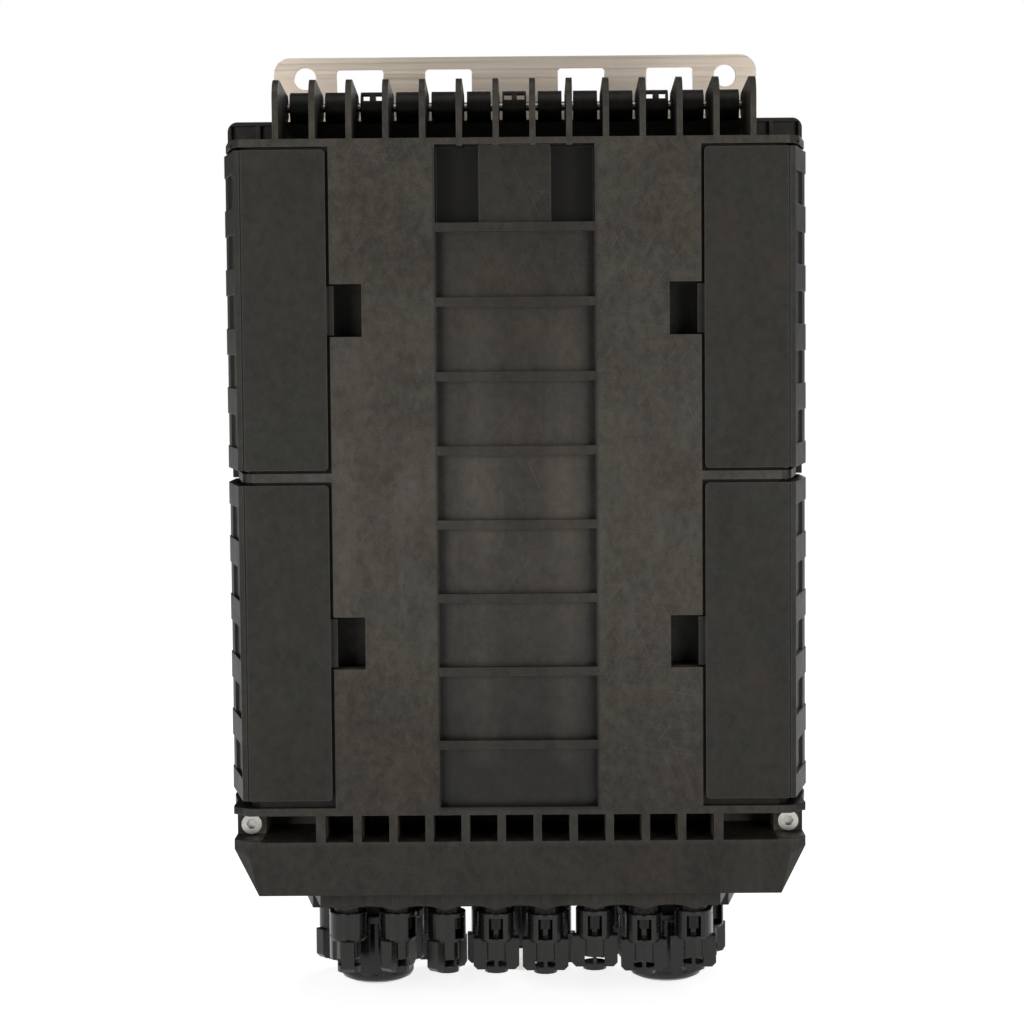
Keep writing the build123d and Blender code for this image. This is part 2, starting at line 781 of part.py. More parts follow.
def corner_pockets():
    """Shallow pockets in the top flange's corners, either side of a thin rib."""
    pockets = []
    for low, high in ((corner_rib_x - corner_pocket_inner, corner_rib_x - rim / 2),
                      (corner_rib_x + rim / 2, top_flange_half - rim)):
        for side in (-1, 1):
            pockets.append(block(side * low, side * high, parting_y - 1, parting_y + rim_pocket_depth,
                                 cover_top_z + 0.4, top_flange_z - rim))
    return pockets


def latch_side_x(y):
    """Half width of a latch's bevelled side at a depth."""
    start = latch_face_half + latch_groove + latch_band
    slope = (half_width - start) / (flare_y - front_y - latch_band / 2)
    return start + slope * (y - front_y - latch_band / 2)


def latch_plan():
    """Plan of a latch: front plate, groove, bevelled band, flared side and the flank down to the rod."""
    inner = half_width - latch_rib - latch_side_sheet
    inner_y = front_y + latch_sheet
    lip = panel_half + latch_lip_gap
    return [
        (lip, front_y), (latch_face_half, front_y), (latch_face_half, front_y + 2 * latch_shoulder),
        (latch_face_half + latch_groove, front_y + 2 * latch_shoulder),
        (latch_face_half + latch_groove, front_y + latch_shoulder),
        (latch_side_x(front_y + latch_band / 2), front_y + latch_band / 2),
        (half_width, flare_y), (half_width, latch_rod_y), (latch_rod_x + 3, latch_rod_y + 2.4),
        (latch_rod_x + 2, latch_rod_y), (inner, latch_rod_y - 2), (inner, flare_y),
        (seat_half + seat_bevel + 0.8, inner_y + seat_bevel), (seat_half + 0.6, inner_y), (lip, inner_y),
    ]


def latch_windows(middle):
    """The pocket in a latch's side and the shallow step behind it, at one height."""
    outer = half_width
    front, back = front_y + latch_band, flare_y - 7
    low, high = middle - window_height / 2, middle + window_height / 2
    pocket = prism_z([(outer + 1, back), (outer + 1, front), (latch_side_x(front) + 0.1, front),
                      (latch_side_x(front) - 1.1, front + 0.9), (latch_side_x(back) - latch_rib + 0.1, back)],
                     low, high)
    step = prism_z([(outer + 1, back - 1), (latch_side_x(back) - latch_shoulder, back),
                    (outer - latch_shoulder, flare_y), (outer - latch_shoulder, latch_rod_y + 6),
                    (outer + 1, latch_rod_y + 6)], low, high)
    return pocket + step


def build_latch(side, top, bottom):
    """A clamp latch with windows between ribs along its side, a catch behind its lip and a rod bore."""
    latch = extrude(Pos(0, 0, bottom) * make_face(Polyline(*latch_plan(), close=True)), top - bottom)
    lip = panel_half + latch_lip_gap
    lip_corners = [e for e in latch.edges().filter_by(Axis.Y) if e.center().X < lip + 0.1]
    latch = fillet(lip_corners, latch_corner_r)
    latch += rod_z(latch_rod_x, latch_rod_y, knuckle_r, bottom, top)
    middle = (top + bottom) / 2
    latch -= [latch_windows(middle + z) for z in row_places(window_count, window_pitch)]
    inner_y = front_y + latch_sheet
    catch_half = notch_height / 2 - running_gap
    latch += block(lip - catch_reach, lip + 1, inner_y - 1, inner_y + catch_depth, middle - catch_half,
                   middle + catch_half)
    latch -= rod_z(latch_rod_x, latch_rod_y, latch_rod_r + fit_gap, bottom - 1, top + 1)
    return latch if side > 0 else mirror(latch, about=Plane.YZ)


def build_bracket():
    """The stainless plate behind the base with bolt holes and slots for pole bands."""
    plate = block(-bracket_width / 2, bracket_width / 2, -bracket_sheet, 0,
                  bracket_top_z - bracket_height, bracket_top_z)
    plate = fillet(plate.edges().filter_by(Axis.Y), bracket_corner_r)
    for side in (-1, 1):
        plate -= rod_y(side * bolt_spacing / 2, 0, bolt_hole_r, -box_depth, 1)
        for centre in slot_centres:
            slot = block(side * centre - slot_width / 2, side * centre + slot_width / 2, -5, 5,
                         bracket_top_z - slot_top_drop - slot_height, bracket_top_z - slot_top_drop)
            plate -= chamfer(slot.edges().filter_by(Axis.Y), 0.7)
    for x, z in bracket_screw_places():
        plate -= rod_y(x, z, bracket_screw_r + 0.2, -5, 1, few_sides)
        plate -= Pos(x, -countersink / 2, z) * Rot(-90, 0, 0) * Cone(
            bracket_screw_r + 0.2, bracket_screw_r + countersink + 0.2, countersink)
    return plate


def countersunk_screw(x, z):
    """A bracket screw, flush with the bracket's rear face."""
    screw = rod_y(x, z, bracket_screw_r, base_back_y - wall - boss_r + 1.5, 0, few_sides)
    return screw + Pos(x, -countersink / 2, z) * Rot(-90, 0, 0) * Cone(
        bracket_screw_r, bracket_screw_r + countersink, countersink)


def pan_screw(x, z, seat, length, shank_r, head_r, head_height):
    """A screw driven towards +Y whose head stands on a face at y = seat."""
    screw = rod_y(x, z, shank_r, seat, seat + length, few_sides)
    return screw + rod_y(x, z, head_r, seat - head_height, seat, many_sides)


def lock_screw(side):
    """A socket screw through the cover's lower corner."""
    seat = lock_seat_y
    length = parting_y + base_flange_thickness + lock_screw_hold - 1.5 - seat
    screw = pan_screw(side * lock_screw_x, lock_screw_z, seat, length, lock_shank_r, lock_head_r,
                      lock_head_height)
    hexagon = Plane.XZ * RegularPolygon(hex_across / 2 / math.cos(math.pi / 6), 6)
    socket = Pos(side * lock_screw_x, seat - lock_head_height - 1, lock_screw_z) * extrude(
        hexagon, 3.5, dir=(0, 1, 0))
    return screw - socket


def build_adapter(x, y, floor):
    """A drop port adapter that stands through the port block's floor."""
    adapter = rod_z(0, 0, adapter_r, -adapter_outside, adapter_inside, few_sides)
    adapter += rod_z(0, 0, adapter_flange_r, -adapter_seal - adapter_flange, -adapter_seal, few_sides)
    reach = adapter_r + adapter_key
    for along in (-adapter_key_x, adapter_key_x):
        adapter += block(along - adapter_key_half, along + adapter_key_half, -reach, reach,
                         -adapter_outside + 0.6, -plug_top_drop - 0.4)
    adapter -= rod_z(0, 0, adapter_bore_r, -adapter_outside - 1, adapter_inside + 1, few_sides)
    return Pos(x, y, floor) * adapter


def build_adapter_seal(x, y, floor):
    """The flat seal under an adapter's flange."""
    ring = rod_z(0, 0, adapter_flange_r - 0.2, -adapter_seal, 0, few_sides)
    return Pos(x, y, floor) * (ring - rod_z(0, 0, adapter_r + fit_gap, -2, 1, few_sides))


def build_lock_nut(x, y, floor):
    """The hexagon nut that holds an adapter from inside."""
    hexagon = Rot(0, 0, 30) * RegularPolygon(lock_nut_across / 2 / math.cos(math.pi / 6), 6)
    hole = rod_z(0, 0, adapter_r + fit_gap, -1, lock_nut_height + 1, few_sides)
    return Pos(x, y, floor + port_wall) * (extrude(hexagon, lock_nut_height) - hole)


def build_plug(x, y, floor, turn):
    """A winged quarter-turn plug with windows in its collar and a pull eye in its stem."""
    collar_low = -plug_top_drop - plug_collar_height
    stem_low = collar_low - plug_stem_length
    plug = rod_z(0, 0, plug_r, collar_low, -plug_top_drop, many_sides)
    plug -= rod_z(0, 0, plug_inner_r, collar_low + plug_floor, 0, few_sides)
    window_low = collar_low + plug_window_rise
    plug -= block(-plug_window_width / 2, plug_window_width / 2, -plug_r - 1, plug_r + 1,
                  window_low, window_low + plug_window_height)
    plug += rod_z(0, 0, plug_stem_r, stem_low, collar_low, few_sides)
    plug += rod_z(0, 0, plug_r - plug_rim, collar_low - plug_rim, collar_low, many_sides)
    wing = block(plug_stem_r - 1, plug_wing_r, -plug_wing_thickness / 2, plug_wing_thickness / 2,
                 stem_low + plug_wing_rise, collar_low)
    corner = [e for e in wing.edges().filter_by(Axis.Y)
              if e.center().X > plug_wing_r - 0.1 and e.center().Z < stem_low + plug_wing_rise + 0.1]
    plug += both_sides(chamfer(corner, plug_wing_corner))
    eye_low = stem_low + eye_rise
    plug -= both_sides(block(eye_post / 2, eye_width / 2, -plug_r, plug_r, eye_low, eye_low + eye_height))
    plug += rod_z(0, 0, adapter_bore_r - plug_pin_gap, collar_low, collar_low + plug_pin_length, few_sides)
    return Pos(x, y, floor) * Rot(0, 0, turn) * plug


def grip_plan():
    """Plan of a main cap's collar, with shallow flutes between its lands."""
    steps = 6 * grip_count
    points = []
    for n in range(steps):
        angle = 2 * math.pi * n / steps
        r = main_cap_r - (grip_depth if n % 6 in (0, 1) else 0.0)
        points.append((r * math.cos(angle), r * math.sin(angle)))
    return points


def build_main_cap(side):
    """A fluted cap over a main port, stepped down to a domed barrel."""
    collar_low = -main_cap_drop - main_collar_height
    barrel_low = collar_low - main_barrel_height
    cap = prism_z(grip_plan(), collar_low, -main_cap_drop - main_cap_rim)
    cap += rod_z(0, 0, main_cap_r, -main_cap_drop - main_cap_rim, -main_cap_drop, many_sides)
    cap += rod_z(0, 0, main_barrel_r, barrel_low, collar_low, many_sides)
    cap += dome(main_barrel_r, main_cap_dome, barrel_low)
    inner_low = -main_neck_length - main_seal
    cap -= rod_z(0, 0, main_neck_r + main_neck_gap, inner_low, 0, many_sides)
    return Pos(side * main_x, main_row_y, mid_floor_z) * cap


def build_main_seal(side):
    """The blank seal between a main port's neck and its cap."""
    disc = rod_z(0, 0, main_neck_r - 0.3, -main_neck_length - main_seal, -main_neck_length, many_sides)
    return Pos(side * main_x, main_row_y, mid_floor_z) * disc


def build_valve_body():
    """The pressure test valve in the middle of the port block."""
    hexagon = RegularPolygon(valve_hex_across / 2 / math.cos(math.pi / 6), 6)
    body = rod_z(0, 0, valve_r, -valve_flange, port_wall + valve_flange, few_sides)
    body += rod_z(0, 0, valve_stem_r, -valve_length, -valve_flange + 1, few_sides)
    body += rod_z(0, 0, valve_r, -valve_barrel, -valve_flange + 1, many_sides)
    body += Pos(0, 0, -valve_flange) * extrude(hexagon, valve_flange)
    body += Pos(0, 0, port_wall) * extrude(hexagon, valve_nut)
    return Pos(0, main_row_y, mid_floor_z) * body


def build_valve_cap():
    """The bright domed cap of the test valve."""
    dome_z = valve_cap_r - valve_cap_drop - valve_cap_height
    cap = rod_z(0, 0, valve_cap_r, dome_z, -valve_cap_drop, many_sides)
    cap += dome(valve_cap_r, valve_cap_r, dome_z)
    cap -= rod_z(0, 0, valve_stem_r + valve_gap, -valve_length - 0.3, 0, many_sides)
    return Pos(0, main_row_y, mid_floor_z) * cap


def tray_back(n):
    """Back plane of a splice tray, counted from the back of the stack."""
    return tray_back_y - n * tray_pitch


def tray_front(n):
    """Front plane of a splice tray."""
    return tray_back(n) - tray_depth


def tray_axis(n):
    """The y and z of the pin that a tray turns on."""
    return tray_back(n) - tray_pin_inset, tray_top_z + tray_pin_rise


def build_tray(n):
    """A splice tray: a pan with hinge ears, two fibre spools and entry gaps."""
    back, front = tray_back(n), tray_front(n)
    bottom = tray_top_z - tray_height
    half = tray_half
    pan = block(-half, half, front, back, bottom, tray_top_z)
    pan = fillet(pan.edges().filter_by(Axis.Y), tray_corner_r)
    hollow = block(-half + tray_wall, half - tray_wall, front - 1, back - tray_wall, bottom + tray_wall,
                   tray_top_z - tray_wall)
    pan -= fillet(hollow.edges().filter_by(Axis.Y), tray_corner_r - tray_wall)
    middle = tray_top_z - tray_height / 2 + spool_rise
    pin_y, pin_z = tray_axis(n)
    for side in (-1, 1):
        x = side * spool_x
        spool = rod_y(x, middle, spool_r, front + 1, back - 1, many_sides)
        spool -= rod_y(x, middle, spool_r - spool_sheet, front, back, many_sides)
        spool -= block(x - spool_gap / 2, x + spool_gap / 2, front - 1, back - tray_wall,
                       middle - spool_r - 1, middle + spool_r + 1)
        pan += spool
        x = side * entry_x
        pan -= block(x - entry_width / 2, x + entry_width / 2, front - 1, back - tray_wall, bottom - 1,
                     bottom + tray_wall + 1)
        near, far = side * tray_ear_x - tray_ear / 2, side * tray_ear_x + tray_ear / 2
        pan += block(near, far, pin_y - tray_eye_r, pin_y + tray_eye_r, tray_top_z - 1, pin_z)
        pan += rod_x(pin_y, pin_z, tray_eye_r, near, far, few_sides)
    return pan - rod_x(pin_y, pin_z, tray_pin_r + fit_gap, -half, half, few_sides)


def build_splice_holder(n):
    """A comb that grips the splice sleeves in a tray."""
    floor = tray_back(n) - tray_wall
    low = tray_top_z - tray_height + holder_rise
    half = holder_width / 2
    holder = block(-half, half, floor - holder_sheet, floor, low, low + holder_height)
    holder += [block(x - holder_rib / 2, x + holder_rib / 2, floor - holder_sheet - holder_depth,
                     floor - holder_sheet / 2, low, low + holder_height)
               for x in row_places(holder_slots + 1, (holder_width - holder_rib) / holder_slots)]
    return holder


def build_tray_lid():
    """The thin lid on the front tray, with two finger holes."""
    front = tray_front(tray_count - 1)
    half = tray_half
    lid = block(-half, half, front - lid_sheet, front, tray_top_z - tray_height, tray_top_z)
    lid = fillet(lid.edges().filter_by(Axis.Y), tray_corner_r)
    return lid - both_sides(rod_y(half - 12, tray_top_z - 12, 3, -box_depth, 0))


def build_tray_hinge():
    """Two pairs of cheeks on the carrier, drilled for the trays' pins."""
    back = carrier_y - carrier_sheet
    low, high = tray_top_z + 1.4, tray_top_z + tray_pin_rise + 3.6
    near = tray_ear_x - tray_ear / 2 - cheek_gap - cheek
    far = tray_ear_x + tray_ear / 2 + cheek_gap
    hinge = both_sides(block(near, far + cheek, back, back - 2, low, high + 3))
    for x in (near, far):
        hinge += both_sides(block(x, x + cheek, back, tray_front(tray_count - 1) + 3, low, high))
    for n in range(tray_count):
        hinge -= rod_x(*tray_axis(n), tray_pin_r + fit_gap, -half_width, half_width, few_sides)
    return hinge


def build_tray_pin(n):
    """A long pin through a tray's ears and the cheeks."""
    half = tray_ear_x + tray_ear / 2 + cheek_gap + cheek + 1
    return rod_x(*tray_axis(n), tray_pin_r, -half, half, few_sides)


def build_carrier():
    """The plate behind the trays, with slack hooks below them."""
    front = carrier_y - carrier_sheet
    plate = block(-carrier_half, carrier_half, front, carrier_y, carrier_bottom_z, carrier_top_z)
    plate = fillet(plate.edges().filter_by(Axis.Y), 4)
    window = block(-carrier_window_half, carrier_window_half, -box_depth, 0,
                   carrier_window_top_z - carrier_window_height, carrier_window_top_z)
    plate -= fillet(window.edges().filter_by(Axis.Y), 5)
    reach = front - hook_depth
    for side in (-1, 1):
        x = side * hook_x
        hook = rod_y(x, hook_z, hook_r, front + 0.5, reach, many_sides)
        hook -= rod_y(x, hook_z, hook_r - hook_sheet, 0, -box_depth, many_sides)
        hook -= block(x - hook_r - 1, x + hook_r + 1, -box_depth, front, hook_z, hook_z + hook_r + 1)
        plate += hook
        tip = x + side * (hook_r - hook_sheet - 1)
        plate += block(tip, tip + side * hook_tab, reach, reach + 1.6, hook_z - 7, hook_z - 1)
    for x, z in carrier_screw_places():
        plate -= rod_y(x, z, carrier_screw_r + 0.2, -box_depth, 0, few_sides)
    return plate


def build_strap():
    """The strap round the stack of trays."""
    half = tray_half + 0.4
    front = tray_front(tray_count - 1) - lid_sheet - 0.3
    back = tray_back_y + 0.3
    z = tray_top_z - tray_height / 2 + strap_rise
    outer = block(-half - strap_sheet, half + strap_sheet, front - strap_sheet, back + strap_sheet,
                  z - strap_width / 2, z + strap_width / 2)
    outer = fillet(outer.edges().filter_by(Axis.Z), strap_sheet + 0.3)
    inner = block(-half, half, front, back, z - strap_width, z + strap_width)
    return outer - inner


def build_clamp(side):
    """A saddle on the carrier for a main cable, with feet."""
    front = carrier_y - carrier_sheet
    x = side * main_x
    low, high = clamp_z - clamp_height / 2, clamp_z + clamp_height / 2
    clamp = block(x - clamp_width / 2, x + clamp_width / 2, main_row_y + 2, front, low, high)
    clamp -= rod_z(x, main_row_y, clamp_bore_r, low - 1, high + 1, many_sides)
    clamp -= block(x - clamp_bore_r + 1, x + clamp_bore_r - 1, main_row_y + clamp_bore_r + 5, front - 3,
                   low - 1, high + 1)
    for end in (-1, 1):
        clamp -= rod_y(x + end * clamp_screw_x, clamp_z, clamp_screw_r + fit_gap, main_row_y,
                       main_row_y + clamp_screw_length, few_sides)
    return clamp


def build_clamp_bar(side):
    """The bar that closes a cable clamp."""
    x = side * main_x
    low, high = clamp_z - clamp_height / 2 + 3, clamp_z + clamp_height / 2 - 3
    front = main_row_y + 2 - clamp_bar_sheet
    strap = block(x - clamp_width / 2, x + clamp_width / 2, front, main_row_y + 2, low, high)
    reach = clamp_screw_x - 2.5
    strap += block(x - reach, x + reach, front - 7, front, low, high)
    strap -= rod_z(x, main_row_y + 2, clamp_bore_r - 1, low - 1, high + 1, many_sides)
    for end in (-1, 1):
        strap -= rod_y(x + end * clamp_screw_x, clamp_z, clamp_screw_r + fit_gap, -box_depth, 0, few_sides)
    return strap


def clamp_screw(side, end):
    """A screw that draws a clamp's bar down on its saddle."""
    seat = main_row_y + 2 - clamp_bar_sheet
    return pan_screw(side * main_x + end * clamp_screw_x, clamp_z, seat, clamp_screw_length, clamp_screw_r,
                     clamp_screw_r + 1, 1.6)


def build_all():
    """Every node of the box by name."""
    pin_half = (arm_count - 1) / 2 * arm_pitch + arm_thickness / 2 + 0.5
    nodes = {
        "base_shell": build_base(),
        "cover_shell": build_cover(),
        "cover_gasket": build_gasket(),
        "hinge_pin": rod_x(hinge_y, hinge_z, hinge_pin_r, -pin_half, pin_half, few_sides),
        "mounting_bracket": build_bracket(),
        "bracket_screws": group(countersunk_screw(x, z) for x, z in bracket_screw_places()),
        "cover_lock_screws": group(lock_screw(side) for side in (-1, 1)),
        "latch_rods": group(rod_z(side * latch_rod_x, latch_rod_y, latch_rod_r,
                                  cover_bottom_z + bottom_strip_height - lug_height, cover_top_z)
                            for side in (-1, 1)),
        "main_port_seals": group(build_main_seal(side) for side in (-1, 1)),
        "valve_body": build_valve_body(),
        "valve_cap": build_valve_cap(),
        "tray_carrier": build_carrier(),
        "carrier_screws": group(pan_screw(x, z, carrier_y - carrier_sheet, carrier_sheet + 5,
                                          carrier_screw_r, 3, 2) for x, z in carrier_screw_places()),
        "tray_hinge": build_tray_hinge(),
        "tray_pins": group(build_tray_pin(n) for n in range(tray_count)),
        "tray_lid": build_tray_lid(),
        "tray_strap": build_strap(),
        "clamp_bars": group(build_clamp_bar(side) for side in (-1, 1)),
        "clamp_screws": group(clamp_screw(side, end) for side in (-1, 1) for end in (-1, 1)),
    }
    for side, word in ((-1, "left"), (1, "right")):
        for level, (top, bottom) in latch_spans().items():
            nodes[f"latch_{level}_{word}"] = build_latch(side, top, bottom)
        nodes[f"main_cap_{word}"] = build_main_cap(side)
        nodes[f"cable_clamp_{word}"] = build_clamp(side)
    places = plug_places()
    for row in ("front", "rear"):
        spots = [(x, y, floor) for name, x, y, floor in places if name.startswith(row)]
        nodes[f"port_adapters_{row}"] = group(build_adapter(*spot) for spot in spots)
    spots = [(x, y, floor) for _, x, y, floor in places]
    nodes["adapter_seals"] = group(build_adapter_seal(*spot) for spot in spots)
    nodes["adapter_nuts"] = group(build_lock_nut(*spot) for spot in spots)
    for name, x, y, floor in places:
        seated = floor - plug_drops.get(name, 0.0)
        nodes[f"port_plug_{name}"] = build_plug(x, y, seated, plug_turns.get(name, 0.0))
    for n in range(tray_count):
        nodes[f"splice_tray_{n + 1}"] = build_tray(n)
        nodes[f"splice_holder_{n + 1}"] = build_splice_holder(n)
    return nodes


if __name__ == "__main__":
    os.makedirs("parts", exist_ok=True)
    for name, shape in build_all().items():
        export_step(shape, f"parts/{name}.step")
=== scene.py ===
import bpy
import json
import math
from mathutils import Matrix, Vector


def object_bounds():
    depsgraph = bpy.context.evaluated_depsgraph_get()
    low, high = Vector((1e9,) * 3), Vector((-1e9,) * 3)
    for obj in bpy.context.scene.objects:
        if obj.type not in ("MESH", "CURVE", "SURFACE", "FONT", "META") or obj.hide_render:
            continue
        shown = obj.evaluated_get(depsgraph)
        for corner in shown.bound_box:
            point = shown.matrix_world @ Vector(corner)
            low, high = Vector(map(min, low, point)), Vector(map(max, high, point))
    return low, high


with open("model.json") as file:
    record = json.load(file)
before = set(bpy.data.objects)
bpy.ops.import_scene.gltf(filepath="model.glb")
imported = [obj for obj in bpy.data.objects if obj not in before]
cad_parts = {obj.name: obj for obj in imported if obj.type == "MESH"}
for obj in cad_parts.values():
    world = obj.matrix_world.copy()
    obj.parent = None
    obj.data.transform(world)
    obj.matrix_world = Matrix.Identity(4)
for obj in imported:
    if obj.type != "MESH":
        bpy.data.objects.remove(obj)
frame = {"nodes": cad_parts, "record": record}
cad_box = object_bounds()

# Everything is in metres, in the frame of the CAD model: X along the width, the cover faces -Y,
# Z up, and the origin on the rear face of the bracket between its two bolt holes.
MM = 0.001
BLACK = (0.0, 0.0, 0.0, 1.0)
WHITE = (1.0, 1.0, 1.0, 1.0)
nodes = frame["nodes"]


# Short calls for node trees

def node(tree, kind, inputs=None, **settings):
    """Adds a node; an input is a value or the socket it is linked to."""
    made = tree.nodes.new(kind)
    for key, value in settings.items():
        setattr(made, key, value)
    for key, value in (inputs or {}).items():
        if isinstance(value, bpy.types.NodeSocket):
            tree.links.new(value, made.inputs[key])
        else:
            made.inputs[key].default_value = value
    return made


def math_node(tree, operation, first, second=0.0, third=0.0):
    return node(tree, "ShaderNodeMath", {0: first, 1: second, 2: third}, operation=operation).outputs[0]


def span(tree, value, low, high, to_low=0.0, to_high=1.0):
    """A value between two limits carried over to another range, held at its ends."""
    return node(tree, "ShaderNodeMapRange", {0: value, 1: low, 2: high, 3: to_low, 4: to_high}).outputs[0]


def mix_colour(tree, factor, first, second, blend="MIX"):
    made = node(tree, "ShaderNodeMix", data_type="RGBA", blend_type=blend)
    for socket, value in zip([s for s in made.inputs if s.enabled], (factor, first, second)):
        if isinstance(value, bpy.types.NodeSocket):
            tree.links.new(value, socket)
        else:
            socket.default_value = value
    return [s for s in made.outputs if s.enabled][0]


def place(tree, scale, turn=(0.0, 0.0, 0.0)):
    """Object coordinates, scaled and turned."""
    where = node(tree, "ShaderNodeTexCoord").outputs["Object"]
    turned = node(tree, "ShaderNodeMapping", {"Vector": where, "Rotation": [math.radians(a) for a in turn]})
    return node(tree, "ShaderNodeMapping", {"Vector": turned.outputs[0], "Scale": scale}).outputs[0]


def noise(tree, scale, detail=3.0, roughness=0.55, turn=(0.0, 0.0, 0.0), distortion=0.0):
    """Noise whose three scales give its grain, in waves per metre."""
    return node(tree, "ShaderNodeTexNoise", {
        "Vector": place(tree, scale, turn), "Scale": 1.0, "Detail": detail, "Roughness": roughness,
        "Distortion": distortion}).outputs["Fac"]


def new_tree(name):
    material = bpy.data.materials.new(name)
    material.use_nodes = True
    tree = material.node_tree
    tree.nodes.clear()
    output = node(tree, "ShaderNodeOutputMaterial")
    return material, tree, output


def grey(colour, factor):
    return (*[min(1.0, c * factor) for c in colour[:3]], 1.0)


# Materials

def inside(tree, low, high, soft):
    """One inside a box of object coordinates, falling to zero over a soft border."""
    where = node(tree, "ShaderNodeSeparateXYZ", {0: node(tree, "ShaderNodeTexCoord").outputs["Object"]})
    found = 1.0
    for value, start, end in zip(where.outputs, low, high):
        found = math_node(tree, "MULTIPLY", found, span(tree, value, start - soft, start))
        found = math_node(tree, "MULTIPLY", found, span(tree, value, end, end + soft, 1.0, 0.0))
    return found


def flow_clouds(tree):
    """Clouds where the melt flowed, mottling of a few millimetres, and grain below one."""
    flow = span(tree, noise(tree, (62.0, 62.0, 38.0), 6.0, 0.62, distortion=0.6), 0.36, 0.64)
    mottle = span(tree, noise(tree, (330.0, 330.0, 260.0), 4.0, 0.6, distortion=0.3), 0.34, 0.66)
    fine = span(tree, noise(tree, (1700.0, 1700.0, 1700.0), 2.0, 0.6), 0.3, 0.7)
    shade = math_node(tree, "MULTIPLY_ADD", flow, 0.3, math_node(tree, "MULTIPLY", mottle, 0.4))
    return math_node(tree, "MULTIPLY_ADD", fine, 0.3, shade), mottle


def clouded_colour(tree, colour, shade, clouds, tone):
    """The plastic's colour, drifting between a warm and a cool tone, darker and lighter with the clouds."""
    warm = (colour[0] * (1.0 + tone), colour[1], colour[2] * (1.0 - tone))
    cool = (colour[0] * (1.0 - tone), colour[1] * 1.01, colour[2] * (1.0 + 0.6 * tone))
    drift = span(tree, noise(tree, (34.0, 34.0, 48.0), 3.0, 0.55, distortion=0.8), 0.38, 0.62)
    tinted = mix_colour(tree, drift, grey(warm, 1.0), grey(cool, 1.0))
    level = span(tree, shade, 0.15, 0.85, 1.0 - clouds, 1.0 + clouds)
    level = node(tree, "ShaderNodeCombineColor", {0: level, 1: level, 2: level}).outputs[0]
    return mix_colour(tree, 1.0, tinted, level, "MULTIPLY")


def scratch_marks(tree, amount):
    """Fine scratches in three directions, kept to patches. Each has its turn in degrees and its grain."""
    directions = ((24.0, (2600.0, 400.0, 34.0)), (-38.0, (2100.0, 400.0, 26.0)),
                  (82.0, (3100.0, 400.0, 40.0)))
    found = 0.0
    for turn, grain in directions:
        streak = noise(tree, grain, 2.0, 0.5, turn=(0.0, turn, 0.0))
        found = math_node(tree, "MAXIMUM", found, span(tree, streak, 0.61, 0.74))
    patches = span(tree, noise(tree, (26.0, 26.0, 26.0), 3.0), 0.45, 0.62)
    return math_node(tree, "MULTIPLY", math_node(tree, "MULTIPLY", found, patches), amount)


def dust_specks(tree, amount):
    specks = span(tree, noise(tree, (800.0, 800.0, 800.0), 2.0), 0.7, 0.78)
    return math_node(tree, "MULTIPLY", specks, amount)


def worn_and_lit_edges(tree, rounded, amount):
    """Lighter edges, partly wear and partly painted highlight, show where the rounded normal leaves the flat
    one.
    """
    flat = node(tree, "ShaderNodeNewGeometry").outputs["Normal"]
    along = node(tree, "ShaderNodeVectorMath", {0: rounded, 1: flat}, operation="DOT_PRODUCT")
    return math_node(tree, "MULTIPLY", span(tree, along.outputs["Value"], 0.995, 0.86), amount)


def tinge(tree, base, boxes, colour, within=1.0):
    """Mixes a colour in where the boxes are, each with its corners, soft border and share."""
    for low, high, soft, share in boxes:
        amount = math_node(tree, "MULTIPLY", inside(tree, low, high, soft), share)
        base = mix_colour(tree, math_node(tree, "MULTIPLY", amount, within), base, colour)
    return base


